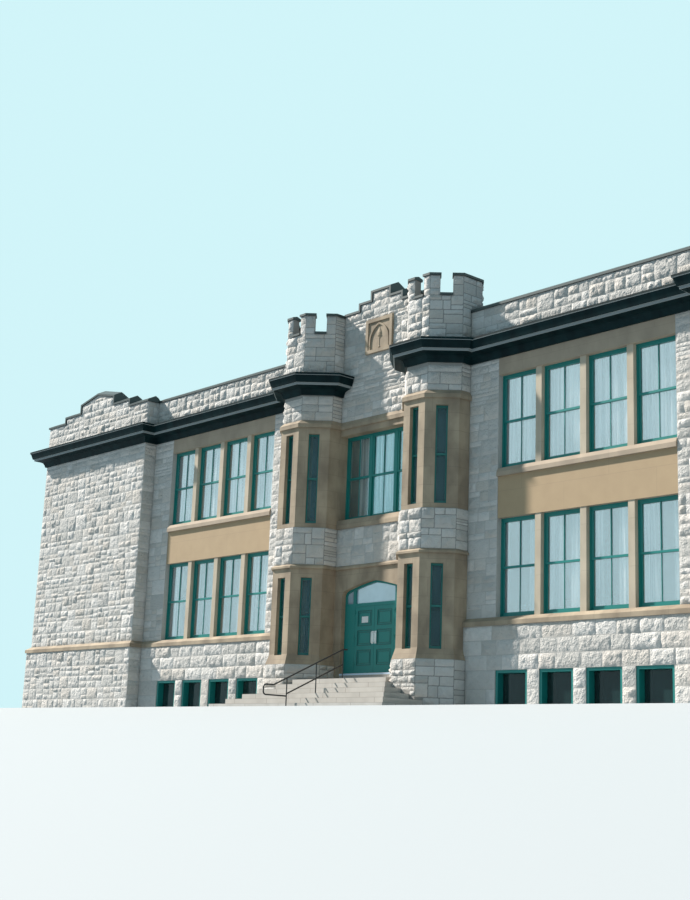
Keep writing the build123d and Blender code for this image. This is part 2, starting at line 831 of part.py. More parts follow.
# Cornice, in lengths that butt on straight stretches of wall
turret_line = turret_plan(0, 0)
joint = wing_start + wall
turn = 4 * wall
turret_path = [(bay_half, centre_face)] + turret_line[1:5] + [(wing_start, 0), (joint, 0)]
save("turret_cornices", *pair(cornice(turret_path)))
front_path = [(joint, 0), (wing_end, 0), (wing_end, -pavilion_step), (pavilion_end, -pavilion_step)]
side_path = [(pavilion_end, turn), (pavilion_end, depth - turn)]
back_path = [(pavilion_end, depth), (-pavilion_end, depth), (-pavilion_end, depth - turn)]
save("front_cornices", *pair(cornice(front_path + side_path[:1])))
save("side_cornices", *pair(cornice(side_path)))
save("back_cornice", cornice(side_path[1:] + back_path))

# Entrance steps: a landing between the turrets, and wider treads down in front of them
rise = landing_top / step_count
steps = block(-landing_half, landing_half, landing_front, centre_face, 0, landing_top)
for i in range(1, step_count):
    half = landing_half + i * step_growth
    steps += block(-half, half, landing_front - i * step_run, centre_face, 0, landing_top - i * rise)
for foot in pair(upright(turret_plan(-turret_base_nose, wall, base_forward), -1, landing_top + 1)):
    steps -= foot
save("entrance_steps", steps)

# Handrail in the middle of the steps
rail_top_y, rail_foot_y = post_places[0], post_places[-1]
slope = landing_top / (rail_top_y - rail_foot_y)
tip = rail_foot_y - rail_end
end = rail_top_y + rail_return
high, low = rail_height - pipe_radius, lower_rail_height
loop_top = high - slope * rail_run_on
loop_foot = loop_top - loop_height
route = [
    (0, end, landing_top + high), (0, rail_top_y, landing_top + high), (0, rail_foot_y - rail_run_on, loop_top),
    (0, tip, loop_top), (0, tip, loop_foot), (0, rail_foot_y, loop_foot),
]
bends = FilletPolyline(*route, radius=rail_bend)
start = Plane(origin=route[0], z_dir=bends % 0)
handrail = sweep((start * Circle(pipe_radius)).face(), path=bends)
lower_line = Line((0, rail_foot_y, low), (0, rail_top_y, landing_top + low))
start = Plane(origin=lower_line @ 0, z_dir=lower_line % 0)
handrail += sweep((start * Circle(pipe_radius)).face(), path=lower_line)
for place in post_places:
    run = max(0, landing_front - place)
    foot = 0 if run > (step_count - 1) * step_run else landing_top - math.ceil(run / step_run) * rise
    height = (place - rail_foot_y) * slope + high - foot
    post = Pos(0, place, foot + height / 2) * Cylinder(post_radius, height)
    flange = Pos(0, place, foot + flange_thickness / 2) * Cylinder(flange_radius, flange_thickness)
    handrail += post + flange
save("handrail", handrail)

# Door frame in the arch, with solid side panels and three lights over the doors
frame_back = frame_front + frame_depth
door_frame = along_y(arch_outline(0, threshold_top), frame_front, frame_back)
opening = (-leaf_half, leaf_half, frame_front - 1, frame_back + 1)
door_frame -= block(*opening, threshold_top - 1, leaf_top + leaf_gap)
light_sill = leaf_top + leaf_gap + transom
lights = along_y(arch_outline(frame_edge, light_sill), frame_front - 1, frame_back + 1)
post = block(leaf_half, leaf_half + post_width, frame_front - 1, frame_back + 1, 0, string_bottom)
for mullion in pair(post):
    lights -= mullion
door_frame -= lights
sheet_front = frame_front + frame_depth / 2
band = block(-doorway_half, doorway_half, sheet_front, sheet_front + glass_thickness, 0, string_bottom)
transom_sheets = [light & band for light in lights.solids()]
turret_sheets = [solid for sheet in slot_glass for solid in pair(sheet)]
save("entrance_bay_glass", *centre_sheets, *turret_sheets, *transom_sheets)

# Door leaves with three sunk panels, on butt hinges
hinge_y = frame_front - hinge_stand
leaf_outer = leaf_half - leaf_gap
leaf_bottom = threshold_top + leaf_foot_gap
axis_x = leaf_half - leaf_gap / 2
leaf = block(meeting_gap / 2, leaf_outer, frame_front, frame_front + leaf_thickness, leaf_bottom, leaf_top)
panel_height = (leaf_height - sum(leaf_rails)) / 3
for i in range(3):
    z0 = leaf_bottom + sum(leaf_rails[:i + 1]) + i * panel_height
    span = (meeting_gap / 2 + leaf_stile, leaf_outer - leaf_stile)
    leaf -= block(*span, frame_front - 1, frame_front + panel_recess, z0, z0 + panel_height)
    back = frame_front + leaf_thickness
    leaf -= block(*span, back - panel_recess, back + 1, z0, z0 + panel_height)
knuckle = hinge_height / 3
plate_y = (hinge_y - pin_radius, frame_front)
plate_reach = 5 * hinge_radius
for height in hinge_heights:
    z0 = leaf_bottom + height
    pin = Pos(axis_x, hinge_y, z0 + hinge_height / 2) * Cylinder(pin_radius, hinge_height)
    door_hinge = pin
    for a in (z0, z0 + 2 * knuckle + 1):
        barrel = Pos(axis_x, hinge_y, a + (knuckle - 1) / 2) * Cylinder(hinge_radius, knuckle - 1)
        plate = block(axis_x, axis_x + plate_reach, *plate_y, a, a + knuckle - 1)
        door_hinge += barrel + plate
    for half in pair(door_hinge):
        door_frame += half
    middle = Pos(axis_x, hinge_y, z0 + hinge_height / 2) * Cylinder(hinge_radius, knuckle - 1)
    middle += block(axis_x - plate_reach, axis_x, *plate_y, z0 + knuckle + 0.5, z0 + 2 * knuckle - 0.5)
    bore = Pos(axis_x, hinge_y, z0 + hinge_height / 2) * Cylinder(pin_radius + pin_gap, hinge_height)
    leaf += middle - bore
save("door_frame", door_frame)
save("right_door_leaf", leaf)
save("left_door_leaf", mirrored(leaf))

# Pull plates with bow handles beside the meeting stiles
pull_z = leaf_bottom + pull_middle
pull_x = meeting_gap / 2 + (leaf_stile - pull_width) / 2
pull = block(pull_x, pull_x + pull_width, frame_front - pull_plate, frame_front, pull_z, pull_z + pull_height)
grip_x = pull_x + pull_width / 2
grip = (grip_x - pull_bar, grip_x + pull_bar)
grip_back = frame_front - pull_plate
grip_ends = (pull_z + 2 * pull_bar, pull_z + pull_height - 2 * pull_bar)
bow = block(*grip, grip_back - pull_reach, grip_back, *grip_ends)
bow -= block(grip[0] - 1, grip[1] + 1, grip_back - pull_reach + pull_bar, grip_back + 1,
             grip_ends[0] + 2 * pull_bar, grip_ends[1] - 2 * pull_bar)
save("right_pull", pull + bow)
save("left_pull", mirrored(pull + bow))
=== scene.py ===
import json
import math
import random
import bpy
from mathutils import Matrix, Vector
from mathutils.bvhtree import BVHTree


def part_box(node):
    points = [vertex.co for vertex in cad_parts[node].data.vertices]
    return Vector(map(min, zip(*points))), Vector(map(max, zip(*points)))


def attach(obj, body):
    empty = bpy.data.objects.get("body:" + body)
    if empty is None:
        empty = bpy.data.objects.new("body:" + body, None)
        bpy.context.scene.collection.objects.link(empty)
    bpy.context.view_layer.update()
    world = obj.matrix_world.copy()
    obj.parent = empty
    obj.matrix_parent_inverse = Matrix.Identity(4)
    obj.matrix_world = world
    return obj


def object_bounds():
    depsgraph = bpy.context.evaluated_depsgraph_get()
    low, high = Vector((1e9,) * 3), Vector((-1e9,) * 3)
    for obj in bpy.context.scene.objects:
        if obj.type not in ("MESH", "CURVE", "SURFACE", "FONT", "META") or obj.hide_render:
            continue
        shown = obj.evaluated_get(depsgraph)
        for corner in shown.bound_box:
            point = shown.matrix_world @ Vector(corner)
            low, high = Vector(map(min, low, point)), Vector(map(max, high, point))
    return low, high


# Looks of the school building, in metres and radians. X runs along the front, Y into the
# building and Z up from the ground. What is laid on the CAD takes its place from the frame.

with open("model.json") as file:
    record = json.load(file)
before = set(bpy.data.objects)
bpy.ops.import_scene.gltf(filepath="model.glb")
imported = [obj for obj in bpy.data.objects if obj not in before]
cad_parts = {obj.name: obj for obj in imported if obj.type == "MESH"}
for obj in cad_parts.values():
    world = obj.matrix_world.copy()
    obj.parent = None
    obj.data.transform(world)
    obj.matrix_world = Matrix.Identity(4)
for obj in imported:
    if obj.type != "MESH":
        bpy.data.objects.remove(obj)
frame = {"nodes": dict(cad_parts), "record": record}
nodes = frame["nodes"]
cad_box = [list(corner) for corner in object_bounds()]
scene = bpy.context.scene
scene.view_settings.view_transform = "Standard"
UP = Vector((0, 0, 1))

# Heights taken from the frame: a spandrel reaches from the lower windows' heads to the upper sill
WALL_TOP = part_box("roof_deck")[1][2]
STEP_COUNT = 6
STEP_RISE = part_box("entrance_steps")[1][2] / STEP_COUNT
band_heights = sorted({round(vertex.co.z, 3) for vertex in nodes["front_window_bands"].data.vertices})
LOWER_HEAD, UPPER_SILL = band_heights[:2]

# Camera, solved from the straight edges in the photograph; the lens is set for its longer side
YAW, PITCH, ROLL = -0.8445, 0.2247, 0.0386
EYE = Vector((29.616, -27.553, -1.401))
FOCAL_PIXELS = 1368.74
PHOTO_HEIGHT = 900
SENSOR = 36

forward = Vector((math.sin(YAW) * math.cos(PITCH), math.cos(YAW) * math.cos(PITCH), math.sin(PITCH)))
right = Vector((math.cos(YAW), -math.sin(YAW), 0))
up = right.cross(forward)
turned_right = right * math.cos(ROLL) + up * math.sin(ROLL)
turned_up = up * math.cos(ROLL) - right * math.sin(ROLL)
camera_data = bpy.data.cameras.new("camera")
camera_data.sensor_width = SENSOR
camera_data.lens = FOCAL_PIXELS / PHOTO_HEIGHT * SENSOR
camera_data.clip_start = 0.5
camera_data.clip_end = 2000
camera = bpy.data.objects.new("camera", camera_data)
axes = Matrix((turned_right, turned_up, -forward)).transposed().to_4x4()
camera.matrix_world = Matrix.Translation(EYE) @ axes
scene.collection.objects.link(camera)
scene.camera = camera


# Materials

class Paint:
    """A material whose nodes are added one by one."""

    def __init__(self, name, roughness, metallic=0):
        self.material = bpy.data.materials.new(name)
        self.material.use_nodes = True
        self.tree = self.material.node_tree
        self.shader = self.tree.nodes["Principled BSDF"]
        self.shader.inputs["Roughness"].default_value = roughness
        self.shader.inputs["Metallic"].default_value = metallic
        self.place = self.add("ShaderNodeTexCoord").outputs["Object"]

    def add(self, kind, **settings):
        node = self.tree.nodes.new(kind)
        for key, value in settings.items():
            setattr(node, key, value)
        return node

    def feed(self, socket, value):
        """Link a socket to another node, or set it to a constant."""
        if isinstance(value, bpy.types.NodeSocket):
            self.tree.links.new(value, socket)
        else:
            socket.default_value = value

    def math(self, operation, a, b=0.0):
        node = self.add("ShaderNodeMath", operation=operation)
        self.feed(node.inputs[0], a)
        self.feed(node.inputs[1], b)
        return node.outputs[0]

    def mix(self, share, a, b):
        node = self.add("ShaderNodeMix", data_type="RGBA")
        self.feed(node.inputs["Factor"], share)
        for socket, value in ((node.inputs[6], a), (node.inputs[7], b)):
            self.feed(socket, value if isinstance(value, bpy.types.NodeSocket) else (*value, 1))
        return node.outputs[2]

    def noise(self, scale, detail=3, stretch=(1, 1, 1)):
        mapping = self.add("ShaderNodeMapping")
        self.feed(mapping.inputs["Vector"], self.place)
        mapping.inputs["Scale"].default_value = stretch
        node = self.add("ShaderNodeTexNoise")
        self.feed(node.inputs["Vector"], mapping.outputs[0])
        node.inputs["Scale"].default_value = scale
        node.inputs["Detail"].default_value = detail
        return node.outputs["Fac"]

    def axis(self, name):
        node = self.add("ShaderNodeSeparateXYZ")
        self.feed(node.inputs[0], self.place)
        return node.outputs[name]

    def colour(self, value):
        socket = self.shader.inputs["Base Color"]
        self.feed(socket, value if isinstance(value, bpy.types.NodeSocket) else (*value, 1))

    def bump(self, height, strength, distance):
        node = self.add("ShaderNodeBump")
        node.inputs["Strength"].default_value = strength
        node.inputs["Distance"].default_value = distance
        self.feed(node.inputs["Height"], height)
        self.feed(self.shader.inputs["Normal"], node.outputs[0])


def spread(paint, value, low, high):
    """Stretch a noise value so that low becomes 0 and high becomes 1."""
    return paint.math("DIVIDE", paint.math("SUBTRACT", value, low), high - low)


def between(paint, low, high):
    """1 between two heights of the building, and 0 elsewhere."""
    height = paint.axis("Z")
    above = paint.math("GREATER_THAN", height, low)
    return paint.math("MULTIPLY", above, paint.math("LESS_THAN", height, high))


def rock_face():
    """Limestone, each stone of its own tone and one in four warmer, with small pits and grain."""
    grey, pale = (0.48, 0.47, 0.435), (0.67, 0.65, 0.61)
    warm, stain = (0.60, 0.52, 0.43), (0.44, 0.43, 0.40)
    paint = Paint("rock_face", 0.92)
    own = paint.add("ShaderNodeNewGeometry").outputs["Random Per Island"]
    tone = paint.mix(own, grey, pale)
    chosen = paint.math("GREATER_THAN", paint.math("FRACT", paint.math("MULTIPLY", own, 17.0)), 0.75)
    tone = paint.mix(paint.math("MULTIPLY", chosen, 0.3), tone, warm)
    patches = spread(paint, paint.noise(5, 4), 0.4, 0.7)
    tone = paint.mix(paint.math("MULTIPLY", patches, 0.25), tone, stain)
    paint.colour(tone)
    lumps = paint.math("MULTIPLY", paint.noise(8, 5), 2.0)
    paint.bump(paint.math("ADD", lumps, paint.noise(24, 4)), 1, 0.03)
    return paint.material


def mortar(name, low, high):
    """The bed of the rock-faced stones, and plain limestone where none are laid."""
    paint = Paint(name, 0.95)
    paint.colour(paint.mix(paint.noise(9, 4), low, high))
    paint.bump(paint.noise(60, 3), 0.4, 0.004)
    return paint.material


def cloth():
    """White curtain cloth, with the shade in its folds painted on as upright streaks."""
    shade, light = (0.30, 0.32, 0.34), (0.98, 0.98, 0.96)
    paint = Paint("curtain", 0.9)
    # Upright streaks of painted shade stand for the shadows in the curtain's folds.
    painted_fold_shade = spread(paint, paint.noise(9, 2, (1, 1, 0.03)), 0.40, 0.60)
    paint.colour(paint.mix(painted_fold_shade, shade, light))
    return paint.material


def dressed(name, low, high, course, length, joint=0.35, warm_heights=None):
    """Smooth stone of two tones with fine joints, and of a warmer stone between warm_heights."""
    warm_low, warm_high, joint_colour = (0.38, 0.275, 0.165), (0.46, 0.34, 0.205), (0.16, 0.13, 0.10)
    joint_width = 0.008
    paint = Paint(name, 0.85)
    tone = paint.mix(spread(paint, paint.noise(1.7, 5, (1, 1, 0.6)), 0.35, 0.65), low, high)
    if warm_heights:
        warm = paint.mix(paint.noise(2.3, 5), warm_low, warm_high)
        tone = paint.mix(between(paint, *warm_heights), tone, warm)
    combine = paint.add("ShaderNodeCombineXYZ")
    along = paint.math("ADD", paint.axis("X"), paint.math("MULTIPLY", paint.axis("Y"), 0.6))
    paint.feed(combine.inputs["X"], along)
    paint.feed(combine.inputs["Y"], paint.axis("Z"))
    brick = paint.add("ShaderNodeTexBrick")
    paint.feed(brick.inputs["Vector"], combine.outputs[0])
    brick.inputs["Scale"].default_value = 1
    brick.inputs["Brick Width"].default_value = length
    brick.inputs["Row Height"].default_value = course
    brick.inputs["Mortar Size"].default_value = joint_width
    brick.inputs["Color1"].default_value = (0, 0, 0, 1)
    brick.inputs["Color2"].default_value = (0, 0, 0, 1)
    brick.inputs["Mortar"].default_value = (1, 1, 1, 1)
    line = paint.math("MULTIPLY", brick.outputs["Color"], joint)
    paint.colour(paint.mix(line, tone, joint_colour))
    paint.bump(paint.noise(45, 4), 0.35, 0.004)
    return paint.material


def weathering(paint):
    """Faint upright streaks, from 0 to 1."""
    return spread(paint, paint.noise(3, 5, (1, 1, 0.3)), 0.35, 0.7)


def painted(name, colour, roughness, metallic=0, streak=0.15):
    """Paint or sheet with faint weathering."""
    paint = Paint(name, roughness, metallic)
    dull = tuple(0.6 * c + 0.03 for c in colour)
    paint.colour(paint.mix(paint.math("MULTIPLY", weathering(paint), streak), colour, dull))
    return paint.material


def cornice_paint():
    """Near-black green paint with faint weathering, and a pale painted highlight along the drip edge and
    the upper lip.
    """
    drip_edge, upper_lip = (0.142, 0.212), (0.425, 0.440)
    dark, faded, painted_highlight = (0.003, 0.011, 0.013), (0.007, 0.025, 0.027), (0.32, 0.36, 0.36)
    paint = Paint("cornice_paint", 0.5)
    paint.shader.inputs["Specular IOR Level"].default_value = 0.08
    tone = paint.mix(weathering(paint), dark, faded)
    # The pale bands at the drip edge and the upper lip are a painted highlight.
    for low, high in (drip_edge, upper_lip):
        edge = between(paint, WALL_TOP + low, WALL_TOP + high)
        tone = paint.mix(paint.math("MULTIPLY", edge, 0.8), tone, painted_highlight)
    paint.colour(tone)
    return paint.material


def glass(name, colour, alpha, index=1.5, tint=(0.96, 0.97, 1)):
    """Old sheet glass, faintly uneven; index sets how much of the sky it mirrors, in which tint."""
    paint = Paint(name, 0.04)
    darker = tuple(0.7 * c for c in colour)
    paint.colour(paint.mix(spread(paint, paint.noise(0.9, 3), 0.35, 0.65), darker, colour))
    paint.shader.inputs["Alpha"].default_value = alpha
    paint.shader.inputs["IOR"].default_value = index
    paint.shader.inputs["Specular Tint"].default_value = (*tint, 1)
    return paint.material


def floor_paint():
    """The pale floor, which throws less light back on the walls than it shows."""
    thrown, shown = (0.27, 0.31, 0.34), (0.41, 0.44, 0.45)
    paint = Paint("floor", 0.95)
    seen = paint.add("ShaderNodeLightPath").outputs["Is Camera Ray"]
    paint.colour(paint.mix(seen, thrown, shown))
    return paint.material


ROCK = rock_face()
FINE_COURSE, FINE_LENGTH = 0.52, 1.1
LONG_COURSE, LONG_LENGTH = 1.2, 2.9
FACINGS = {
    "limestone": mortar("mortar", (0.40, 0.39, 0.36), (0.50, 0.485, 0.45)),
    "dark_mortar": mortar("dark_mortar", (0.25, 0.245, 0.225), (0.33, 0.32, 0.295)),
    "sandstone": dressed(
        "sandstone", (0.245, 0.193, 0.135), (0.41, 0.33, 0.23), FINE_COURSE, FINE_LENGTH),
    "mullions": dressed(
        "mullions", (0.42, 0.36, 0.27), (0.52, 0.45, 0.34), LONG_COURSE, LONG_LENGTH, 0.2),
    "bands": dressed(
        "window_bands", (0.34, 0.275, 0.205), (0.42, 0.34, 0.25), LONG_COURSE, LONG_LENGTH, 0.15,
        (LOWER_HEAD, UPPER_SILL)),
    "step_stone": dressed(
        "step_stone", (0.45, 0.43, 0.39), (0.54, 0.52, 0.475), STEP_RISE, 1.5, 0.6),
    "cornice_paint": cornice_paint(),
    "coping_sheet": painted("coping_sheet", (0.04, 0.055, 0.055), 0.45, 0.3, 0.4),
    "green_paint": painted("green_paint", (0.004, 0.195, 0.175), 0.4),
    # A darker copy of the green paint, which paints the shade of the turret windows' deep reveals onto
    # their frames
    "slot_green_painted_shade": painted("slot_green_painted_shade", (0.003, 0.135, 0.12), 0.4),
    "dark_green": painted("dark_green", (0.002, 0.10, 0.092), 0.4),
    "window_glass": glass("window_glass", (0.78, 0.86, 0.95), 0.40, 60),
    # A darker copy of the window glass, which paints the shade over the bay's middle window
    "painted_shade_glass": glass("painted_shade_glass", (0.5, 0.7, 0.8), 0.32, 25, (0.7, 0.95, 1)),
    "slot_glass": glass("slot_glass", (0.26, 0.52, 0.56), 0.18),
    "dark_glass": glass("dark_glass", (0.02, 0.05, 0.05), 0.6),
    # Over the doors: a pale blue, mostly opaque glass whose colour is a painted reflection of the sky, on
    # top of its own slight mirroring
    "painted_sky_glass": glass("painted_sky_glass", (0.52, 0.72, 0.85), 0.8, 4),
    "concrete": painted("concrete", (0.40, 0.39, 0.37), 0.9),
    "floor_boards": painted("floor_boards", (0.30, 0.20, 0.12), 0.6),
    "roof_felt": painted("roof_felt", (0.06, 0.06, 0.06), 0.95),
    "rail_paint": painted("rail_paint", (0.02, 0.02, 0.02), 0.4),
    "pull_steel": painted("pull_steel", (0.75, 0.76, 0.76), 0.35, 0.4),
}
CURTAIN = cloth()
PLATE = painted("white_plate", (0.78, 0.78, 0.76), 0.5, 0, 0)
STRIP = painted("threshold_strip", (0.60, 0.72, 0.85), 0.35, 0.1)
MULLIONS = ("front_mullions", "side_mullions", "back_mullions")
FACING_OF = {part["node"]: part["material_slot"] for part in frame["record"]["subparts"]}
FACING_OF.update(dict.fromkeys(("front_window_bands", "side_window_bands", "back_window_bands"), "bands"))
FACING_OF.update(dict.fromkeys(MULLIONS, "mullions"))
FACING_OF.update(dict.fromkeys(("turret_bases", "turret_bands", "turret_crowns"), "dark_mortar"))
# The turret windows' frames take the darker copy of the green paint, as painted shade
FACING_OF.update(basement_window_glass="dark_glass", turret_window_frames="slot_green_painted_shade")

for name, obj in nodes.items():
    obj.data.materials.clear()
    obj.data.materials.append(FACINGS[FACING_OF[name]])

# The bay's glass: dark in the turrets; in the middle window a darker copy of the window glass, which
# paints its shade; and the lights over the doors mirror a little of the sky and have more of it painted in
bay_glass = nodes["entrance_bay_glass"].data
bay_glass.materials.clear()
for kind in ("slot_glass", "painted_shade_glass", "painted_sky_glass"):
    bay_glass.materials.append(FACINGS[kind])
centre_low, centre_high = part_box("centre_window_frame")
for face in bay_glass.polygons:
    if abs(face.center.x) < centre_high[0]:
        face.material_index = 1 if face.center.z > centre_low[2] else 2


# Pieces

class Shape:
    """Points and faces gathered into one mesh."""

    def __init__(self):
        self.points = []
        self.faces = []

    def grid(self, rows):
        """A patch of quads through rows of points."""
        start = len(self.points)
        width = len(rows[0])
        for row in rows:
            self.points += row
        for j in range(len(rows) - 1):
            for i in range(width - 1):
                a = start + j * width + i
                self.faces.append((a, a + 1, a + width + 1, a + width))

    def box(self, place, x0, x1, y0, y1, z0, z1):
        """A box in a wall's own frame: x along it, y into it, z up."""
        start = len(self.points)
        for z in (z0, z1):
            for x, y in ((x0, y0), (x1, y0), (x1, y1), (x0, y1)):
                self.points.append(place @ Vector((x, y, z)))
        for face in ((0, 3, 2, 1), (4, 5, 6, 7), (0, 1, 5, 4), (1, 2, 6, 5), (2, 3, 7, 6), (3, 0, 4, 7)):
            self.faces.append(tuple(start + i for i in face))

    def ring(self, place, outer, inner, y0, y1):
        """A flat rectangular ring; outer and inner are (x0, x1, z0, z1)."""
        (a, b, c, d), (e, f, g, h) = outer, inner
        for x0, x1, z0, z1 in ((a, b, c, g), (a, b, h, d), (a, e, g, h), (f, b, g, h)):
            self.box(place, x0, x1, y0, y1, z0, z1)

    def make(self, name, material, body="building", smooth=False):
        mesh = bpy.data.meshes.new(name)
        mesh.from_pydata(self.points, [], self.faces)
        mesh.materials.append(material)
        if smooth:
            mesh.shade_smooth()
        obj = bpy.data.objects.new(name, mesh)
        scene.collection.objects.link(obj)
        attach(obj, body)
        return obj


def facing(normal, offset=0):
    """A wall's own frame in the world: x along it, y into it, z up."""
    along = Vector((-normal.y, normal.x, 0))
    matrix = Matrix((along, -normal, UP)).transposed().to_4x4()
    return Matrix.Translation(normal * offset) @ matrix


def islands(name):
    """The separate solids of a node, each as a list of its points."""
    mesh = nodes[name].data
    keys = {}
    for vertex in mesh.vertices:
        keys.setdefault(tuple(round(c, 4) for c in vertex.co), []).append(vertex.index)
    parent = list(range(len(mesh.vertices)))

    def root(i):
        while parent[i] != i:
            parent[i] = parent[parent[i]]
            i = parent[i]
        return i

    for same in keys.values():
        for other in same[1:]:
            parent[root(other)] = root(same[0])
    for edge in mesh.edges:
        parent[root(edge.vertices[0])] = root(edge.vertices[1])
    groups = {}
    for vertex in mesh.vertices:
        groups.setdefault(root(vertex.index), []).append(vertex.co.copy())
    return list(groups.values())


# Rock-faced stones

# The joints between stones, wider on the turrets, and the pitched margin inside them
JOINT, WIDE_JOINT = 0.007, 0.014
MARGIN = 0.026
# A stone's edges lie SINK inside the wall. Its margin and its face stand out by shares of
# the wall's relief: the face by LEAST at its middle, more or less as it leans, and up to KNOB more.
SINK = 0.002
PROUD_SHARES, MARGIN_SHARES = (0.5, 1.5), (0.1, 0.45)
LEAST, KNOB, LEAN = 0.45, 1.1, 0.6
SHIFT = 0.28
# The usual band height of each bond, and how much squared bands differ from it
SQUARED, COURSED = 0.47, 0.46
UNEVEN = 0.25
# Bands are halved down to THIN to fit the wall, or down to THINNEST where much of it would
# stay bare. No stretch of stones is shorter than SHORTEST.
THIN, THINNEST, SHORTEST = 0.2, 0.14, 0.12
BARE, MUCH = 0.06, 0.4
# The lengths of the stones of each bond. A last stone shorter than STUB joins the one before.
COURSED_LENGTHS, SQUARED_LENGTHS = (0.5, 1.05), (0.32, 0.85)
STUB = 0.24
# A band lower than LOW is one stone high. A higher one has stones of its full height only
# at FULL lengths, and is otherwise split in two courses, where long stones are cut.
LOW = 0.34
FULL, CUT, MAYBE_CUT = (0.5, 0.8), 0.7, 0.55
FULL_CHANCE, CUT_CHANCE = 0.3, 0.5
SPLITS, CUTS = (0.34, 0.45, 0.55, 0.66), (0.35, 0.65)
# How far off the wall the open air is looked for, at which steps, and where no floor lies below
CLEAR, LOOK, OUTSIDE = 0.004, 0.12, 0.03
FLOORS = ("basement_floor", "entrance_floor", "first_floor", "second_floor", "roof_deck")


def tree_of(names):
    """The faces of some nodes, to cast rays at."""
    points = []
    faces = []
    for name in names:
        mesh = nodes[name].data
        start = len(points)
        points += [vertex.co.copy() for vertex in mesh.vertices]
        faces += [tuple(start + i for i in polygon.vertices) for polygon in mesh.polygons]
    return BVHTree.FromPolygons(points, faces)


ALL_SOLIDS = tree_of(nodes)
ALL_FLOORS = tree_of(FLOORS)


def upright_planes(name, normals):
    """A node's upright flat faces as {(normal, offset): triangles of (along, height)}."""
    planes = {}
    mesh = nodes[name].data
    for face in mesh.polygons:
        normal = face.normal
        if abs(normal.z) > 0.01:
            continue
        if normals and not any(normal.dot(Vector((*n, 0))) > 0.999 for n in normals):
            continue
        offset = face.center.dot(normal)
        key = (round(normal.x, 2), round(normal.y, 2), round(offset, 3))
        along = Vector((-normal.y, normal.x, 0))
        corners = [mesh.vertices[i].co for i in face.vertices]
        planes.setdefault(key, []).append([(c.dot(along), c.z) for c in corners])
    return planes


def spans_at(faces, z):
    """The stretches of a plane's faces that a level line crosses."""
    cuts = []
    for face in faces:
        us = []
        for (ua, za), (ub, zb) in zip(face, face[1:] + face[:1]):
            if (za - z) * (zb - z) < 0:
                us.append(ua + (ub - ua) * (z - za) / (zb - za))
        if len(us) > 1:
            cuts.append((min(us), max(us)))
    merged = []
    for a, b in sorted(cuts):
        if merged and a < merged[-1][1] + 0.001:
            merged[-1][1] = max(merged[-1][1], b)
        else:
            merged.append([a, b])
    return merged


def shared(first, second):
    """The stretches that lie in both of two lists, without the short ones."""
    both = [(max(p[0], q[0]), min(p[1], q[1])) for p in first for q in second]
    return [(a, b) for a, b in both if b - a > SHORTEST]


def length(spans):
    """How long some stretches are together."""
    return sum(b - a for a, b in spans)


